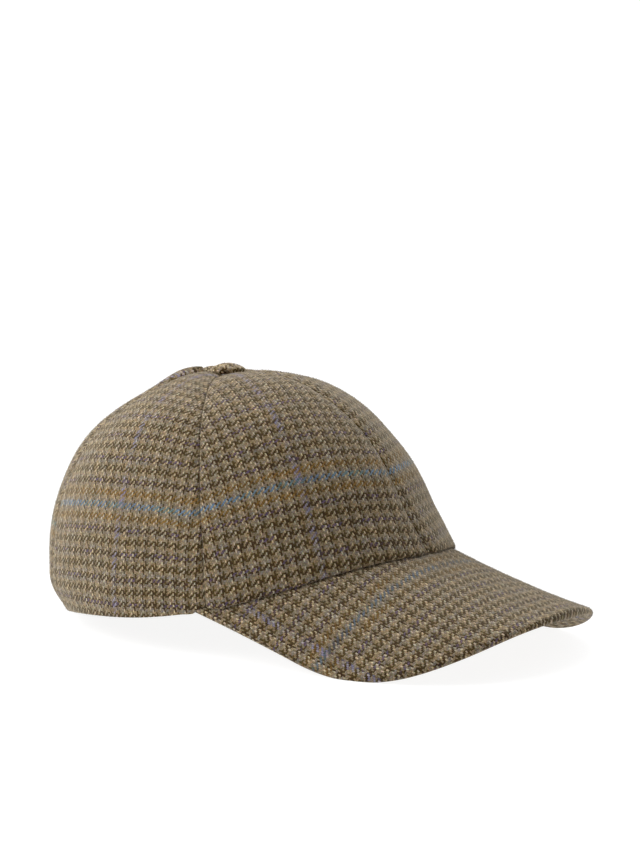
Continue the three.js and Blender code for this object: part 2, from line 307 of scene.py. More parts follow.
def shell_mesh(name, upper, lower, flat):
    """A closed skin of two grids of points that share their last row, with the cloth's flat
    position of each point, the same for both faces, as its UV map."""
    columns, rows = upper.shape[:2]
    count = columns * rows
    outer = np.arange(count).reshape(columns, rows)
    inner = count + np.arange(columns * (rows - 1)).reshape(columns, rows - 1)
    inner = np.concatenate([inner, outer[:, -1:]], axis=1)
    points = np.vstack([upper.reshape(-1, 3), lower[:, :-1].reshape(-1, 3)])
    flat = np.vstack([flat.reshape(-1, 2), flat[:, :-1].reshape(-1, 2)])

    def strip(a, b):
        return np.stack([a[:-1], a[1:], b[1:], b[:-1]], -1).reshape(-1, 4)

    faces = [strip(outer[:, j], outer[:, j + 1]) for j in range(rows - 1)]
    faces += [strip(inner[:, j + 1], inner[:, j]) for j in range(rows - 1)]
    faces.append(strip(inner[:, 0], outer[:, 0]))
    faces.append(strip(outer[0], inner[0])[:-1])
    faces.append(strip(inner[-1], outer[-1])[:-1])
    faces = np.vstack(faces)
    end = [strip(outer[0], inner[0])[-1][[0, 1, 3]], strip(inner[-1], outer[-1])[-1][[0, 1, 3]]]
    corners = points[faces]
    volume = np.einsum("ij,ij->", corners[:, 0], np.cross(corners[:, 1], corners[:, 2]))
    volume += np.einsum("ij,ij->", corners[:, 0], np.cross(corners[:, 2], corners[:, 3]))
    polygons = faces.tolist() + [triangle.tolist() for triangle in end]
    if volume < 0:
        polygons = [polygon[::-1] for polygon in polygons]
    outside = np.arange(len(points)) < count
    return cloth_object(name, points, polygons, flat, outside.astype(float))


def cloth_object(name, points, polygons, flat, outside):
    """A smooth mesh object with the cloth's flat positions, in metres, as its UV map, and a mark
    of 1 on the points of its outer face."""
    mesh = bpy.data.meshes.new(name)
    mesh.from_pydata(points.tolist(), [], polygons)
    layer = mesh.uv_layers.new(name="cloth")
    corner = np.empty(len(mesh.loops), int)
    mesh.loops.foreach_get("vertex_index", corner)
    layer.data.foreach_set("uv", flat[corner].ravel())
    mark = mesh.attributes.new("outside", "FLOAT", "POINT")
    mark.data.foreach_set("value", outside)
    mesh.shade_smooth()
    piece = bpy.data.objects.new(name, mesh)
    bpy.context.scene.collection.objects.link(piece)
    return piece


def lay_grain(right, height, across, up, lean):
    """Flat positions measured from where the overcheck crosses the piece."""
    u = right - across
    return np.stack([u, height - up - lean * u], -1)


def panel_depth(across, share, start, end, swell, puff):
    """How far a panel's outer face lies inside the plain crown: pressed in at its seams, full
    between them and puffed up round the button."""
    width = np.linalg.norm(crown_point(start, share) - crown_point(end, share), axis=-1)
    from_seam = width * np.minimum(across, 1 - across)
    fade = np.minimum(1, width / NARROW_PANEL)
    groove = SEAM_DEPTH * fade * np.exp(-(from_seam / SEAM_REACH) ** 2)
    from_lift = (from_seam / SEAM_REACH - SEAM_LIFT_PLACE) / SEAM_LIFT_SPREAD
    lift = SEAM_LIFT * fade * np.exp(-from_lift ** 2)
    climbed = share * CLIMB_LENGTH
    drift = np.sin(climbed / PUCKER_PITCH * PUCKER_DRIFT + start * PUCKER_DRIFT_SHIFT)
    phase = drift * PUCKER_DRIFT_DEPTH + start * PUCKER_SHIFT
    far_side = np.where(across > 0.5, PUCKER_FAR_SIDE, 0)
    ripple = np.sin(2 * math.pi * climbed / PUCKER_PITCH + phase + far_side)
    pucker = PUCKER_DEPTH * fade * np.exp(-from_seam / PUCKER_REACH) * ripple
    plain = crown_point(start + across * (end - start), share)
    to_apex = np.hypot(plain[..., 0], plain[..., 1] - APEX_SETBACK)
    clear = np.clip((to_apex - BUTTON_RADIUS - PUFF_START) / PUFF_FADE, 0, 1)
    beside = eased(clear) * np.exp(-((to_apex - PUFF_PLACE) / PUFF_REACH) ** 2)
    swollen = swell * np.sin(math.pi * share ** SWELL_POWER) + puff * beside
    full = 4 * across * (1 - across) * swollen
    edge = round_over(from_seam, np.minimum(SEAM_ROUNDING, width / ROUNDINGS_IN_WIDTH))
    return groove + edge - full - lift - pucker


def make_panel(name, start, end, swell, puff, overcheck):
    """One crown panel: its outer face, a turned-up hem at the rim and its inner face."""
    start, end = math.radians(start), math.radians(end)
    turn = np.linspace(0, math.pi, PANEL_COLUMNS + 1)
    close_rows = np.linspace(0, 1, HEM_ROWS) ** 2 * HEM_CLOSE_ROWS
    hem = np.concatenate([close_rows, HEM_LAST_ROWS]) / CLIMB_LENGTH
    climb = np.linspace(hem[-1], TOP_SHARE, PANEL_ROWS + 2 - len(hem))[1:]
    share = np.concatenate([hem, climb])[None, ::-1]
    width = np.linalg.norm(crown_point(start, share) - crown_point(end, share), axis=-1)
    gap = SEAM_CLEARANCE / 2 / width
    across = gap + (1 - np.cos(turn[:, None])) / 2 * (1 - 2 * gap)
    angle = start + across * (end - start)
    height = share * CLIMB_LENGTH
    depth = panel_depth(across, share, start, end, swell, puff)
    depth = depth - unevenness(crown_point(angle, share)) * np.clip(height / HEM_HEIGHT, 0, 1)
    folded = np.clip((HEM_HEIGHT + HEM_STEP - height) / HEM_STEP, 0, 1)
    thickness = CLOTH + HEM_FOLD * eased(folded)
    sewn = np.clip((PEAK_CORNER_ANGLE - np.abs(angle)) / SEWN_FADE, 0, 1)
    behind = np.clip((np.abs(angle) - BACK_ROUNDING_FROM) / BACK_ROUNDING_RUN, 0, 1)
    radius = RIM_ROUNDING + (BACK_ROUNDING - RIM_ROUNDING) * behind
    turned_in = round_over(height, radius * (1 - sewn) + SEWN_ROUNDING * sewn)
    over_peak = np.clip((PEAK_CORNER_ANGLE - np.abs(angle)) / SEWN_SWELL_FADE, 0, 1)
    depth = depth - SEWN_SWELL * over_peak * np.exp(-(height / SEWN_SWELL_HEIGHT) ** 2)
    outer = crown_point(angle, share, depth + turned_in)
    inner = crown_point(angle, share, depth + thickness)
    right, down = unroll(crown_point(angle, share))
    flat = lay_grain(-right, down[:, -1:].mean() - down, *overcheck)
    return shell_mesh(name, settle(outer), settle(inner), flat)


def peak_side():
    """The right half of the peak's outer edge in plan: a gentle curve from the crown to the
    widest place, then a squared oval to the middle of the front."""
    corner_x, corner_y = rim_plan(PEAK_CORNER_ANGLE, CLOTH - PEAK_CORNER_WIDTH)
    widest = -HALF_LENGTH + PEAK_WIDEST_BEHIND
    back = np.linspace(1, 0, OUTLINE_STEPS, endpoint=False)
    x = -PEAK_HALF_WIDTH + (PEAK_HALF_WIDTH + corner_x) * back ** 2
    y = widest + (corner_y - widest) * back
    turn = np.linspace(QUARTER, 0, OUTLINE_STEPS + 1)
    bend = 2 / PEAK_SQUARENESS
    front_x = -PEAK_HALF_WIDTH * np.abs(np.sin(turn)) ** bend
    front_y = widest - (PEAK_LENGTH + PEAK_WIDEST_BEHIND) * np.abs(np.cos(turn)) ** bend
    return np.stack([np.concatenate([x, front_x]), np.concatenate([y, front_y])], -1)


def peak_edge(count):
    """The whole outer edge, as points evenly spaced along it from right to left."""
    right = peak_side()
    line = np.vstack([right, (right[:-1] * (-1, 1))[::-1]])
    length = np.concatenate([[0], np.cumsum(np.linalg.norm(np.diff(line, axis=0), axis=1))])
    even = np.linspace(0, length[-1], count + 1)
    return np.stack([np.interp(even, length, line[:, k]) for k in (0, 1)], -1)


def peak_point(x, y, depth):
    """The peak's upper face moved down along its own normal."""
    step = SLOPE_STEP
    slope_x = (peak_top(x + step, y) - peak_top(x - step, y)) / (2 * step)
    slope_y = (peak_top(x, y + step) - peak_top(x, y - step)) / (2 * step)
    normal = np.stack([-slope_x, -slope_y, np.ones_like(slope_x)], -1)
    normal /= np.linalg.norm(normal, axis=-1, keepdims=True)
    return np.stack([x, y, peak_top(x, y)], -1) - normal * depth[..., None]


def peak_flat(plan):
    """Lays points of the peak flat as cloth: distances to the wearer's left along the arch, and
    up the slope from the front edge."""
    x, y = plan[..., None, 0], plan[..., None, 1]
    share = np.linspace(0, 1, ARCH_STEPS + 1)
    heights = peak_top(x * share, y)
    rise = np.diff(heights, axis=-1) * math.cos(PEAK_SLOPE)
    across = np.sign(x[..., 0]) * np.hypot(x / ARCH_STEPS, rise).sum(-1)
    behind = np.linspace(-HALF_LENGTH - PEAK_LENGTH, 0, SLOPE_STEPS)
    middle = peak_top(0 * behind, behind)
    length = np.concatenate([[0], np.cumsum(np.hypot(np.diff(behind), np.diff(middle)))])
    sunk = heights[..., 0] - heights[..., -1]
    return across, np.interp(y[..., 0], behind, length) - sunk * math.sin(PEAK_SLOPE)


def make_peak():
    """The peak: cloth over a stiff board, with a rounded edge where its two faces meet."""
    along = np.linspace(0, 1, PEAK_COLUMNS + 1)[:, None]
    angle = PEAK_CORNER_ANGLE * (1 - 2 * along)
    root = np.concatenate(rim_plan(angle, CLOTH), axis=1)
    end = peak_edge(PEAK_COLUMNS)
    outward = (end - root) / np.linalg.norm(end - root, axis=1, keepdims=True)
    to_corner = np.clip(np.minimum(along, 1 - along) / PEAK_CORNER_RUN, 0, 1)
    thicker = PEAK_THICKNESS - PEAK_CORNER_THICKNESS
    thickness = PEAK_CORNER_THICKNESS + thicker * np.sqrt(to_corner)
    radius = thickness / 2
    rim = end - outward * radius
    step = np.linspace(0, 1, PEAK_ROWS, endpoint=False)[None]
    turn = np.linspace(0, QUARTER, EDGE_STEPS + 1)[None]
    plan = root[:, None] + (rim - root)[:, None] * step[..., None]
    rolled = rim[:, None] + outward[:, None] * (radius * np.sin(turn))[..., None]
    plan = np.concatenate([plan, rolled], axis=1)
    x, y = plan[..., 0], plan[..., 1]
    drop = np.concatenate([0 * step * radius, radius * (1 - np.cos(turn))], axis=1)
    waves = unevenness(np.stack([x, y, 0 * x], -1)) * np.clip((radius - drop) / radius, 0, 1)
    upper = peak_point(x, y, drop - waves * PEAK_TOP_WAVES)
    lower = peak_point(x, y, thickness - drop + waves * PEAK_UNDER_WAVES)
    wrapped = rim[:, None] + outward[:, None] * (radius * turn)[..., None]
    right, up = peak_flat(np.concatenate([plan[:, :PEAK_ROWS], wrapped], axis=1))
    flat = lay_grain(right, up, *PEAK_OVERCHECK)
    return shell_mesh("peak_cloth", settle(upper), settle(lower), flat)


def button_grid(tall, rounding):
    """The covered button: cloth drawn over a dome and gathered under its edge, as a grid of points
    round it and their flat positions."""
    flat_radius = BUTTON_RADIUS - rounding
    under = np.linspace(BUTTON_LEAST_SHARE, 1, BUTTON_UNDER_ROWS) * flat_radius
    turn = np.linspace(-QUARTER, QUARTER / 2, BUTTON_EDGE_ROWS + 1)[1:]
    edge_r = flat_radius + rounding * np.cos(turn)
    edge_z = rounding + rounding * np.sin(turn)
    s = np.linspace(0, 1, BUTTON_DOME_ROWS + 1)[1:]
    dome_r = edge_r[-1] * (1 - s) ** 2 + BUTTON_RADIUS * s * (1 - s)
    dome_z = edge_z[-1] * (1 - s) ** 2 + tall * (1 - (1 - s) ** 2)
    radius = np.concatenate([under, edge_r, dome_r])
    height = np.concatenate([0 * under, edge_z, dome_z])
    run = np.concatenate([[0], np.cumsum(np.hypot(np.diff(radius), np.diff(height)))])
    around = np.linspace(0, 2 * math.pi, BUTTON_SIDES, endpoint=False)[:, None]
    gather = BUTTON_PLEAT_DEPTH * np.exp(-((height - rounding * BUTTON_PLEAT_PLACE) / rounding) ** 2)
    drift = BUTTON_PLEAT_DRIFT * np.sin(BUTTON_PLEAT_DRIFTS * around)
    pleat = gather * np.sin(BUTTON_PLEATS * around + drift)
    reach = np.maximum(radius + pleat * (radius > flat_radius), BUTTON_LEAST_RADIUS)
    x, y = reach * np.cos(around), reach * np.sin(around)
    points = np.stack([x, y, height + 0 * x], -1)
    from_top = (run[-1] - run)[None]
    flat = lay_grain(from_top * np.cos(around), from_top * np.sin(around), *BUTTON_OVERCHECK)
    return points, flat


def make_button():
    """The button as a closed skin, sewn on a little aside and drawn down into the cloth."""
    points, flat = button_grid(BUTTON_HEIGHT, BUTTON_EDGE)
    c, s = math.cos(BUTTON_LEAN), math.sin(BUTTON_LEAN)
    x, y, z = np.moveaxis(points, -1, 0)
    points = np.stack([x, y * c - z * s, z * c + y * s], -1) + BUTTON_PLACE + BUTTON_ASIDE
    rows = points.shape[1]
    index = np.arange(BUTTON_SIDES * rows).reshape(BUTTON_SIDES, rows)
    nexts = np.roll(index, -1, axis=0)
    faces = np.stack([index[:, :-1], nexts[:, :-1], nexts[:, 1:], index[:, 1:]], -1).reshape(-1, 4)
    polygons = faces.tolist() + [index[::-1, 0].tolist(), index[:, -1].tolist()]
    outside = np.ones(points.shape[:2]).ravel()
    placed = resting(points).reshape(-1, 3)
    return cloth_object("button_cloth", placed, polygons, flat.reshape(-1, 2), outside)


def resting(points):
    """Points of the cap as worn, brought to where the frame holds it."""
    return tipped(points) + REST_SHIFT


def settle(points):
    """Resting points, pressed flat where they would pass below the floor."""
    placed = resting(points)
    placed[..., 2] = np.maximum(placed[..., 2], 0)
    return placed


def rest_shift():
    """The move that brings the tipped cap on to the frame, from where its button is."""
    low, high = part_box("button")
    points = tipped(button_grid(SOLID_BUTTON_HEIGHT, SOLID_BUTTON_EDGE)[0] + BUTTON_PLACE).reshape(-1, 3)
    middle = (points.min(axis=0) + points.max(axis=0)) / 2
    return np.array([0, (low.y + high.y) / 2 - middle[1], (low.z + high.z) / 2 - middle[2]])


REST_SHIFT = rest_shift()


# Materials

# The kinds of node that come more than once
MATH = "ShaderNodeMath"
VECTOR = "ShaderNodeVectorMath"
NOISE = "ShaderNodeTexNoise"
RANGE = "ShaderNodeMapRange"
MIX = "ShaderNodeMix"
JOIN = "ShaderNodeCombineXYZ"
SPLIT = "ShaderNodeSeparateXYZ"
SKIN = "ShaderNodeBsdfPrincipled"
SURFACE = "ShaderNodeOutputMaterial"

# The weave: the width of a thread, then numbers of threads
THREAD = 0.73 * MM
TWILL_REPEAT = 4.0
CHECK_ROW = 8.0
CHECK_REPEAT = 16.0
OVERCHECK_REPEAT = 192.0
OVERCHECK_THREADS = 4.0
THIN_LINE_MIDDLE = 1.5
THIN_LINE_REACH = 0.6
WARP = ("cream", "fawn", "cream", "umber", "fawn", "olive", "fawn", "fawn")
WEFT = ("umber", "umber", "umber", "olive", "stone", "stone", "fawn", "fawn",
        "olive", "umber", "olive", "olive", "fawn", "fawn", "stone", "stone")

# How far a float falls at its ends and at its sides, as shares of its height, and its fuzz
FLOAT_FALL = -0.75
THREAD_FALL = -0.7
FUZZ_SHARE = 0.5
FUZZ_DEPTH = 0.35 * MM

# The yarns
YARNS = {
    "cream": "#ada087",
    "fawn": "#85765d",
    "stone": "#7f7467",
    "olive": "#4a3c1c",
    "umber": "#3d2c16",
    "ochre": "#7c5f30",
    "plum": "#5a4c5f",
    "blue": "#627b92",
    "teal": "#5d7476",
    "lilac": "#7a7690",
}
SHEEN_TINT = "#e4dccb"
WARM_PATCH = (1.07, 0.99, 0.87, 1)
COOL_PATCH = (0.95, 0.985, 1.07, 1)
FLECKS_SHARE = 0.28

# Noise patches to a millimetre of cloth. Real fibres are finer, and would not show in the render.
LINE_PATCHES = 0.052 / MM
PLUM_PATCHES = 0.07 / MM
LILAC_PATCHES = 0.07 / MM
SHADE_PATCHES = 0.12 / MM
HEATHER_PATCHES = 0.24 / MM
FLECKS = 1.3 / MM
FIBRES = 2.6 / MM
LOOSE_FIBRES = 0.7 / MM

# How the threads wander: patches to a millimetre, and how far aside
WANDERS = ((0.15 / MM, 1.3 * MM), (0.9 / MM, 0.5 * MM))

# Shifts across the cloth that keep one noise from following another
PLUM_ASIDE = (0.31, 0.17, 0.0)
FLECKS_ASIDE = (0.7, 0.2, 0.0)
HEATHER_ASIDE = (0.2, 0.9, 0.0)

# Where a colour shows: the noise at which it starts and is full, and its share there
BLUE_SHOWS = (0.36, 0.5, 0.6, 1.0)
OCHRE_SHOWS = (0.38, 0.6, 0.4, 1.0)
PLUM_SHOWS = (0.47, 0.57, 0.0, 1.0)
LILAC_SHOWS = (0.42, 0.58, 0.2, 0.9)
TEAL_SHOWS = (0.45, 0.6, 0.0, 1.0)
HEATHER_SHOWS = (0.36, 0.64, 0.0, 1.0)
FIBRE_SHOWS = (0.35, 0.65, 0.0, 1.0)

# How much each cause lightens a place on the cloth, and the least light there is. The float's own shade,
# its fibres and patches vary at random; the last two are painted shade, dark in the gaps between
# threads, light on float tops
OWN_SHADE = 0.55
LEAST_SHADE = 0.42
FIBRE_SHADE = 0.8
PATCH_SHADE = 0.4
PAINTED_RELIEF_LIGHT = 0.65
PAINTED_GAP_SHADE = 0.44

# Painted light: the one cloth's tone is scaled per piece for how light falls on it, the button
# brightest; and how
# # strongly the overcheck shows on the peak
CROWN_PAINTED_LIGHT = 1.09
PEAK_PAINTED_LIGHT = 1.0
BUTTON_PAINTED_LIGHT = 1.6
PEAK_OVERCHECK_STRENGTH = 0.55

# The nap: fibres to a square metre, their size, and how high above the floor they start
NAP_DENSITY = 1.6e6
NAP_LENGTH = 1.2 * MM
NAP_THICKNESS = 0.06 * MM
NAP_CLEARANCE = 2 * MM
NAP_LEAN = 1.0
NAP_SIZES = (0.4, 1.0)
NAP_LEAN_SEED = 3
NAP_SIZE_SEED = 5


def linear(code):
    """An sRGB hex colour as linear red, green, blue and alpha."""
    parts = [int(code[i:i + 2], 16) / 255 for i in (1, 3, 5)]
    return (*[p / 12.92 if p <= 0.04045 else ((p + 0.055) / 1.055) ** 2.4 for p in parts], 1)


def add(tree, kind, inputs=(), output=0, **settings):
    """Adds a node with its settings, and its inputs as values or links, in order or by name, and
    gives one of its outputs."""
    node = tree.nodes.new(kind)
    for key, value in settings.items():
        setattr(node, key, value)
    named = inputs if isinstance(inputs, dict) else dict(enumerate(inputs))
    for key, value in named.items():
        if isinstance(value, bpy.types.NodeSocket):
            tree.links.new(value, node.inputs[key])
        else:
            node.inputs[key].default_value = value
    return node.outputs[output] if node.outputs else None


def bare_material(name):
    """A new material with no nodes in it, and its tree."""
    material = bpy.data.materials.new(name)
    material.use_nodes = True
    material.node_tree.nodes.clear()
    return material, material.node_tree


def in_order(tree, thread, order):
    """The colour of a thread, by its number, from the order in which the yarns repeat."""
    count = float(len(order))
    place = add(tree, MATH, (thread, count), operation="FLOORED_MODULO")
    place = add(tree, MATH, (place, 0.5), operation="ADD")
    place = add(tree, MATH, (place, count), operation="DIVIDE")
    colour = add(tree, "ShaderNodeValToRGB", (place,))
    ramp = colour.node.color_ramp
    ramp.interpolation = "CONSTANT"
    while len(ramp.elements) < len(order):
        ramp.elements.new(0.5)
    for k, yarn in enumerate(order):
        ramp.elements[k].position = k / len(order)
        ramp.elements[k].color = linear(YARNS[yarn])
    return colour


def places_on_cloth(tree):
    """Places on the cloth, in metres in its flat. The threads wander a little, so no two places
    look alike."""
    flat = add(tree, "ShaderNodeUVMap", uv_map="cloth")
    cloth = flat
    for scale, reach in WANDERS:
        inputs = {"Vector": flat, "Scale": scale, "Detail": 1.0}
        wander = add(tree, NOISE, inputs, "Color", noise_dimensions="2D")
        wander = add(tree, VECTOR, (wander, (0.5, 0.5, 0.5)), operation="SUBTRACT")
        wander = add(tree, VECTOR, {0: wander, "Scale": reach}, operation="SCALE")
        cloth = add(tree, VECTOR, (cloth, wander), operation="ADD")
    return cloth


def twill(tree, cloth):
    """A two-and-two twill: the numbers of the warp and the weft thread at a place, which of them
    lies on top, the number of its float and how high it stands there."""
    threads = add(tree, VECTOR, {0: cloth, "Scale": 1 / THREAD}, operation="SCALE")
    across = add(tree, SPLIT, (threads,), "X")
    upward = add(tree, SPLIT, (threads,), "Y")
    warp = add(tree, MATH, (across,), operation="FLOOR")
    weft = add(tree, MATH, (upward,), operation="FLOOR")
    in_warp = add(tree, MATH, (across,), operation="FRACT")
    in_weft = add(tree, MATH, (upward,), operation="FRACT")
    step = add(tree, MATH, (warp, weft), operation="SUBTRACT")
    turn = add(tree, MATH, (step, TWILL_REPEAT), operation="DIVIDE")
    turn = add(tree, MATH, (turn,), operation="FLOOR")

    # Of the crossings 0 to 3 of a repeat, the warp lies on top at 0 and 1
    crossing = add(tree, MATH, (step, TWILL_REPEAT), operation="FLOORED_MODULO")
    warp_up = add(tree, MATH, (crossing, 1.5), operation="LESS_THAN")

    # How far along its float, of two crossings, and across its thread a place is from the middle
    along_warp = add(tree, MATH, (1.0, crossing), operation="SUBTRACT")
    along_warp = add(tree, MATH, (along_warp, in_weft), operation="ADD")
    along_weft = add(tree, MATH, (crossing, 2.0), operation="SUBTRACT")
    along_weft = add(tree, MATH, (along_weft, in_warp), operation="ADD")
    along = add(tree, MIX, {0: warp_up, 2: along_weft, 3: along_warp})
    along = add(tree, MATH, (along, 1.0), operation="SUBTRACT")
    side = add(tree, MIX, {0: warp_up, 2: in_weft, 3: in_warp})
    side = add(tree, MATH, (side, 2.0, -1.0), operation="MULTIPLY_ADD")
    heights = []
    for offset, fall in ((along, FLOAT_FALL), (side, THREAD_FALL)):
        square = add(tree, MATH, (offset, offset), operation="MULTIPLY")
        heights.append(add(tree, MATH, (square, fall, 1.0), operation="MULTIPLY_ADD"))
    relief = add(tree, MATH, heights, operation="MULTIPLY")
    return warp, weft, warp_up, turn, relief


def thread_colours(tree, cloth, warp, weft, warp_up, overcheck):
    """The colour of the thread on top, from its place in the check. An overcheck of blue, ochre
    and lilac and thin plum lines come and go along their threads."""
    row = add(tree, MATH, (weft, CHECK_ROW), operation="DIVIDE")
    row = add(tree, MATH, (row,), operation="FLOOR")
    along = add(tree, SPLIT, (cloth,), "X")
    along_row = add(tree, JOIN, (along, row))
    aside = add(tree, VECTOR, (along_row, PLUM_ASIDE), operation="ADD")
    patches = []
    for place, scale in ((along_row, LINE_PATCHES), (aside, PLUM_PATCHES), (cloth, LILAC_PATCHES)):
        inputs = {"Vector": place, "Scale": scale, "Detail": 1.0}
        patches.append(add(tree, NOISE, inputs, noise_dimensions="2D"))
    line_patches, plum_patches, lilac_patches = patches
    over = []
    for thread in (warp, weft):
        place = add(tree, MATH, (thread, OVERCHECK_REPEAT), operation="FLOORED_MODULO")
        over.append(add(tree, MATH, (place, OVERCHECK_THREADS), operation="LESS_THAN"))
    warp_over, weft_over = over

    # The ochre lies in the rows on both sides of the blue line, and a thin line in every repeat
    from_line = add(tree, MATH, (row, OVERCHECK_REPEAT / CHECK_REPEAT), operation="PINGPONG")
    next_row = add(tree, MATH, (from_line, 1.0, 0.1), operation="COMPARE")
    in_row = add(tree, MATH, (weft, CHECK_ROW), operation="FLOORED_MODULO")
    dark_half = add(tree, MATH, (in_row, CHECK_ROW / 2), operation="LESS_THAN")
    beside = add(tree, MATH, (next_row, dark_half), operation="MULTIPLY")
    in_check = add(tree, MATH, (weft, CHECK_REPEAT), operation="FLOORED_MODULO")
    thin_line = (in_check, THIN_LINE_MIDDLE, THIN_LINE_REACH)
    thin_line = add(tree, MATH, thin_line, operation="COMPARE")
    weft_colour = in_order(tree, weft, WEFT)
    teal = add(tree, RANGE, (plum_patches, *TEAL_SHOWS))
    blue = {0: teal, 6: linear(YARNS["blue"]), 7: linear(YARNS["teal"])}
    blue = add(tree, MIX, blue, 2, data_type="RGBA")
    faint = (1, 1, overcheck ** 2, overcheck)
    coloured = (
        # where it lies, its patches, where it shows, how strongly, its colour
        (thin_line, plum_patches, PLUM_SHOWS, (1, 1, 1, 1), linear(YARNS["plum"])),
        (beside, line_patches, OCHRE_SHOWS, faint, linear(YARNS["ochre"])),
        (weft_over, line_patches, BLUE_SHOWS, faint, blue),
    )
    for where, noise, shows, strength, colour in coloured:
        limits = [value * factor for value, factor in zip(shows, strength)]
        seen = add(tree, RANGE, (noise, *limits))
        seen = add(tree, MATH, (where, seen), operation="MULTIPLY")
        weft_colour = add(tree, MIX, {0: seen, 6: weft_colour, 7: colour}, 2, data_type="RGBA")

    warp_colour = in_order(tree, warp, WARP)
    seen = add(tree, RANGE, (lilac_patches, *LILAC_SHOWS))
    seen = add(tree, MATH, (warp_over, seen), operation="MULTIPLY")
    lilac = {0: seen, 6: warp_colour, 7: linear(YARNS["lilac"])}
    warp_colour = add(tree, MIX, lilac, 2, data_type="RGBA")
    return add(tree, MIX, {0: warp_up, 6: weft_colour, 7: warp_colour}, 2, data_type="RGBA")


def mottled(tree, cloth, colour):
    """The colour with flecks of other fibres in it, and patches a little warmer and cooler."""
    place = add(tree, VECTOR, (cloth, FLECKS_ASIDE), operation="ADD")
    flecks = {"Vector": place, "Scale": FLECKS, "Detail": 2.0}
    flecks = add(tree, NOISE, flecks, "Color", noise_dimensions="2D")
    place = add(tree, VECTOR, (cloth, HEATHER_ASIDE), operation="ADD")
    heather = {"Vector": place, "Scale": HEATHER_PATCHES, "Detail": 2.0}
    heather = add(tree, NOISE, heather, noise_dimensions="2D")
    flecked = {0: 1.0, 6: colour, 7: flecks}
    flecked = add(tree, MIX, flecked, 2, data_type="RGBA", blend_type="OVERLAY")
    colour = add(tree, MIX, {0: FLECKS_SHARE, 6: colour, 7: flecked}, 2, data_type="RGBA")
    heather = add(tree, RANGE, (heather, *HEATHER_SHOWS))
    heather = add(tree, MIX, {0: heather, 6: WARM_PATCH, 7: COOL_PATCH}, 2, data_type="RGBA")
    tinted = {0: 1.0, 6: colour, 7: heather}
    return add(tree, MIX, tinted, 2, data_type="RGBA", blend_type="MULTIPLY")


def wool_tweed(name, painted_light, overcheck):
    """Wool tweed in a check of light and dark threads. It gives the eye matt, hairy threads with painted
    shade in the gaps between them and flecks of other shades, and a pale bloom where it turns away. Each
    piece gets its own copy, painted brighter by its own factor for how light falls on it."""
    material, tree = bare_material(name)
    cloth = places_on_cloth(tree)
    warp, weft, warp_up, turn, relief = twill(tree, cloth)
    colour = thread_colours(tree, cloth, warp, weft, warp_up, overcheck)
    colour = mottled(tree, cloth, colour)

    # Each float has its own shade and the fibres in it vary, at random; painted shade darkens the gaps
    # between threads
    #     # and lightens the floats' tops
    own = add(tree, MIX, {0: warp_up, 2: weft, 3: warp})
    place = add(tree, JOIN, (own, turn, warp_up))
    own_shade = add(tree, "ShaderNodeTexWhiteNoise", {"Vector": place}, noise_dimensions="3D")
    fibre = {"Vector": cloth, "Scale": FIBRES, "Detail": 2.0}
    fibre = add(tree, NOISE, fibre, noise_dimensions="2D")
    patch = {"Vector": cloth, "Scale": SHADE_PATCHES, "Detail": 2.0}
    patch = add(tree, NOISE, patch, noise_dimensions="2D")
    shade = add(tree, MATH, (own_shade, OWN_SHADE, LEAST_SHADE), operation="MULTIPLY_ADD")
    shade = add(tree, MATH, (fibre, FIBRE_SHADE, shade), operation="MULTIPLY_ADD")
    shade = add(tree, MATH, (shade, PATCH_SHADE / 2), operation="SUBTRACT")
    shade = add(tree, MATH, (patch, PATCH_SHADE, shade), operation="MULTIPLY_ADD")
    # Painted shade from the threads' relief, scaled by the piece's painted brightness for how light
    # falls on it
    rise, painted_gap_level = PAINTED_RELIEF_LIGHT * painted_light, PAINTED_GAP_SHADE * painted_light
    height = add(tree, MATH, (relief, rise, painted_gap_level), operation="MULTIPLY_ADD")
    shade = add(tree, MATH, (shade, height), operation="MULTIPLY")
    tone = add(tree, "ShaderNodeCombineColor", (shade, shade, shade))
    colour = add(tree, MIX, {0: 1.0, 6: colour, 7: tone}, 2, data_type="RGBA", blend_type="MULTIPLY")

    fuzz = add(tree, MATH, (fibre, FUZZ_SHARE, relief), operation="MULTIPLY_ADD")
    bump = add(tree, "ShaderNodeBump", {"Strength": 0.5, "Distance": FUZZ_DEPTH, "Height": fuzz})
    skin = add(tree, SKIN, {
        "Base Color": colour,
        "Roughness": 0.95,
        "IOR": 1.45,
        "Specular IOR Level": 0.15,
        "Sheen Weight": 0.55,
        "Sheen Roughness": 0.4,
        "Sheen Tint": linear(SHEEN_TINT),
        "Normal": bump,
    })
    add(tree, SURFACE, {"Surface": skin})
    return material


def loose_fibres():
    """Fine ends of wool that stand off the threads, pale and dark as the yarns are: they soften
    the cap's outline and catch light at its edges."""
    material, tree = bare_material("loose_wool_fibres")
    place = add(tree, "ShaderNodeTexCoord", output="Object")
    patch = add(tree, NOISE, {"Vector": place, "Scale": LOOSE_FIBRES, "Detail": 1.0})
    share = add(tree, RANGE, (patch, *FIBRE_SHOWS))
    inputs = {0: share, 6: linear(YARNS["olive"]), 7: linear(YARNS["cream"])}
    colour = add(tree, MIX, inputs, 2, data_type="RGBA")
    skin = add(tree, SKIN, {"Base Color": colour, "Roughness": 0.9, "Specular IOR Level": 0.15})
    add(tree, SURFACE, {"Surface": skin})
    return material


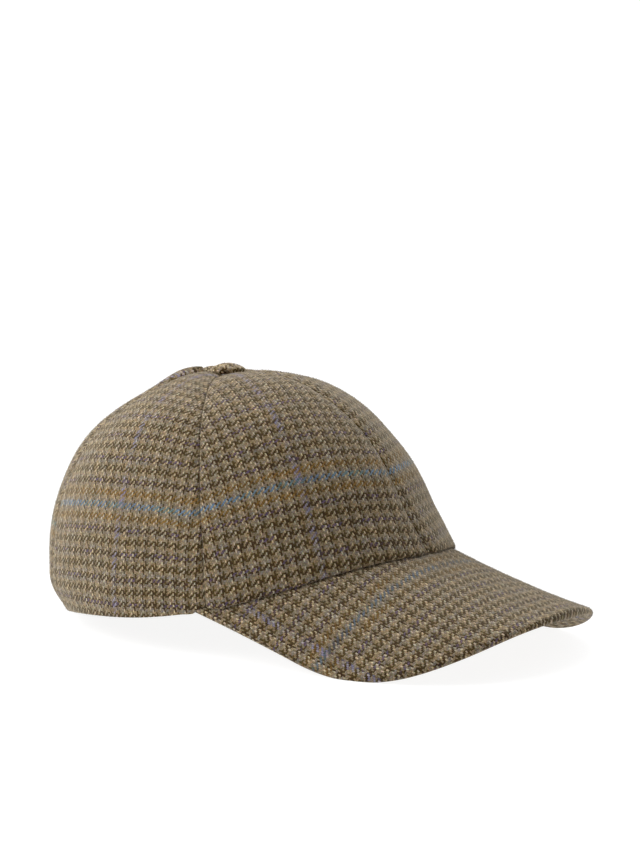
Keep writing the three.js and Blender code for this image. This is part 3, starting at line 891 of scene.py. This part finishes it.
def nap_tree(material):
    """Geometry nodes that add short wool fibres all over a cloth's outer face. Real fibres are
    about 0.02 mm thick, too fine to show, so these are drawn thicker and fewer."""
    tree = bpy.data.node_groups.new("wool_nap", "GeometryNodeTree")
    sockets = (
        ("Geometry", "INPUT", "NodeSocketGeometry"),
        ("Fibres per square metre", "INPUT", "NodeSocketFloat"),
        ("Seed", "INPUT", "NodeSocketInt"),
        ("Geometry", "OUTPUT", "NodeSocketGeometry"),
    )
    for name, way, kind in sockets:
        tree.interface.new_socket(name, in_out=way, socket_type=kind)
    given = add(tree, "NodeGroupInput").node
    cloth, density, seed = given.outputs[0], given.outputs[1], given.outputs[2]
    outside = add(tree, "GeometryNodeInputNamedAttribute", {"Name": "outside"}, data_type="FLOAT")
    place = add(tree, "GeometryNodeInputPosition")
    height = add(tree, SPLIT, (place,), "Z")
    clear = add(tree, MATH, (height, NAP_CLEARANCE), operation="GREATER_THAN")
    grown = add(tree, MATH, (outside, clear), operation="MULTIPLY")
    amount = add(tree, MATH, (grown, density), operation="MULTIPLY")
    spread = {"Mesh": cloth, "Density": amount, "Seed": seed}
    points = add(tree, "GeometryNodeDistributePointsOnFaces", spread, "Points")
    stray = {0: (-1, -1, -1), 1: (1, 1, 1), "Seed": NAP_LEAN_SEED}
    stray = add(tree, "FunctionNodeRandomValue", stray, data_type="FLOAT_VECTOR")
    normal = points.node.outputs["Normal"]
    lean = (stray, (NAP_LEAN, NAP_LEAN, NAP_LEAN), normal)
    heading = add(tree, VECTOR, lean, operation="MULTIPLY_ADD")
    turn = add(tree, "FunctionNodeAlignRotationToVector", {"Vector": heading}, axis="Z")
    size = {2: NAP_SIZES[0], 3: NAP_SIZES[1], "Seed": NAP_SIZE_SEED}
    size = add(tree, "FunctionNodeRandomValue", size, 1, data_type="FLOAT")
    cone = {"Vertices": 3, "Radius Top": 0.0, "Radius Bottom": NAP_THICKNESS / 2, "Depth": NAP_LENGTH}
    fibre = add(tree, "GeometryNodeMeshCone", cone, "Mesh", fill_type="NONE")
    inputs = {"Points": points, "Instance": fibre, "Rotation": turn, "Scale": size}
    fibres = add(tree, "GeometryNodeInstanceOnPoints", inputs)
    fibres = add(tree, "GeometryNodeRealizeInstances", {"Geometry": fibres})
    fibres = add(tree, "GeometryNodeSetMaterial", {"Geometry": fibres, "Material": material})
    both = add(tree, "GeometryNodeJoinGeometry", {"Geometry": cloth})
    tree.links.new(fibres, both.node.inputs[0])
    add(tree, "NodeGroupOutput", {0: both})
    return tree


def grow_nap(piece, tree, seed):
    """Adds the nap to a piece and keeps the result as a plain mesh."""
    nap = piece.modifiers.new("nap", "NODES")
    nap.node_group = tree
    items = tree.interface.items_tree
    sockets = {item.name: item.identifier for item in items if item.in_out == "INPUT"}
    nap[sockets["Fibres per square metre"]] = NAP_DENSITY
    nap[sockets["Seed"]] = seed
    depsgraph = bpy.context.evaluated_depsgraph_get()
    mesh = bpy.data.meshes.new_from_object(piece.evaluated_get(depsgraph), depsgraph=depsgraph)
    piece.modifiers.remove(nap)
    piece.data = mesh


def give(piece, material, node, seed):
    """Finishes a piece: its material and nap, its body and the node it stands for."""
    piece.data.materials.append(material)
    grow_nap(piece, NAP, seed)
    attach(piece, "root")
    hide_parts(node)


# The stage and the camera

FLOOR_REACH = 3.0
FLOOR_GREY = "#808080"
FLOOR_GLOW = 0.89
WHITE = (1, 1, 1, 1)
TENT_BRIGHT = 1.15
TENT_DIM = 0.0
TENT_DIM_SIDE = (-0.55, -0.82, 0.15)
TENT_FADE = (-0.35, 0.9)
LIGHTS = [
    # name, place, aim, width in metres, power in watts
    ("left_box", (-0.75, 1.1, 0.9), (0, 0, 0.06), 1.0, 14),
    ("top_box", (0.1, 0.4, 1.7), (0, 0, 0.0), 1.4, 16),
]
CAMERA_AZIMUTH = math.radians(-52.149)
CAMERA_ELEVATION = math.radians(4.833)
CAMERA_ROLL = math.radians(0.187)
CAMERA_DISTANCE = 863.6 * MM
CAMERA_AIM = (28.64 * MM, 82.5 * MM)
CAMERA_LENS = 72.5


def make_floor():
    """A wide white sweep that the cap rests on, lit from behind as a light table is."""
    far = FLOOR_REACH
    corners = [(-far, -far, 0), (far, -far, 0), (far, far, 0), (-far, far, 0)]
    mesh = bpy.data.meshes.new("floor")
    mesh.from_pydata(corners, [], [(0, 1, 2, 3)])
    floor = bpy.data.objects.new("floor", mesh)
    bpy.context.scene.collection.objects.link(floor)
    material, tree = bare_material("white_light_table")
    skin = add(tree, SKIN, {
        "Base Color": linear(FLOOR_GREY),
        "Roughness": 0.9,
        "Emission Color": WHITE,
        "Emission Strength": FLOOR_GLOW,
    })
    add(tree, SURFACE, {"Surface": skin})
    mesh.materials.append(material)


def make_light(name, place, aim, width, power):
    """A soft box that shines on the cap."""
    data = bpy.data.lights.new(name, "AREA")
    data.shape = "SQUARE"
    data.size = width
    data.energy = power
    lamp = bpy.data.objects.new(name, data)
    lamp.location = place
    lamp.rotation_euler = (Vector(aim) - Vector(place)).to_track_quat("-Z", "Y").to_euler()
    bpy.context.scene.collection.objects.link(lamp)


def make_surround():
    """A white tent round the cap, bright behind it and dim on the side that it is seen from."""
    world = bpy.data.worlds.new("studio")
    world.use_nodes = True
    tree = world.node_tree
    tree.nodes.clear()
    direction = add(tree, "ShaderNodeTexCoord", output="Generated")
    dot = add(tree, VECTOR, (direction, TENT_DIM_SIDE), "Value", operation="DOT_PRODUCT")
    strength = add(tree, RANGE, (dot, *TENT_FADE, TENT_BRIGHT, TENT_DIM))
    light = add(tree, "ShaderNodeBackground", {"Color": WHITE, "Strength": strength})
    add(tree, "ShaderNodeOutputWorld", {"Surface": light})
    bpy.context.scene.world = world


def make_camera():
    """The photograph's view: from the cap's front right, a little above it."""
    a, e = CAMERA_AZIMUTH, CAMERA_ELEVATION
    right = Vector((math.cos(a), math.sin(a), 0))
    back = Vector((math.sin(a) * math.cos(e), -math.cos(a) * math.cos(e), math.sin(e)))
    up = back.cross(right)
    middle = Vector(REST_SHIFT) + right * CAMERA_AIM[0] + up * CAMERA_AIM[1]
    place = middle + back * CAMERA_DISTANCE
    c, s = math.cos(CAMERA_ROLL), math.sin(CAMERA_ROLL)
    turned_right = right * c + up * s
    turned_up = up * c - right * s
    data = bpy.data.cameras.new("camera")
    data.lens = CAMERA_LENS
    camera = bpy.data.objects.new("camera", data)
    turn = Matrix((turned_right, turned_up, back)).transposed().to_4x4()
    camera.matrix_world = Matrix.Translation(place) @ turn
    bpy.context.scene.collection.objects.link(camera)
    bpy.context.scene.camera = camera


make_camera()
make_floor()
make_surround()
for name, place, aim, width, power in LIGHTS:
    make_light(name, place, aim, width, power)
bpy.context.scene.view_settings.view_transform = "Standard"

NAP = nap_tree(loose_fibres())
crown_cloth = wool_tweed("crown_tweed_cloth", CROWN_PAINTED_LIGHT, 1.0)
peak_cloth = wool_tweed("peak_tweed_cloth", PEAK_PAINTED_LIGHT, PEAK_OVERCHECK_STRENGTH)
button_cloth = wool_tweed("button_tweed_cloth", BUTTON_PAINTED_LIGHT, 1.0)
for seed, (name, start, end, swell, puff, across, up, lean) in enumerate(PANELS):
    overcheck = (across * MM, up * MM, lean)
    panel = make_panel(name.replace("panel", "cloth"), start, end, swell * MM, puff * MM, overcheck)
    give(panel, crown_cloth, name, seed)
give(make_peak(), peak_cloth, "peak", len(PANELS))
give(make_button(), button_cloth, "button", len(PANELS) + 1)
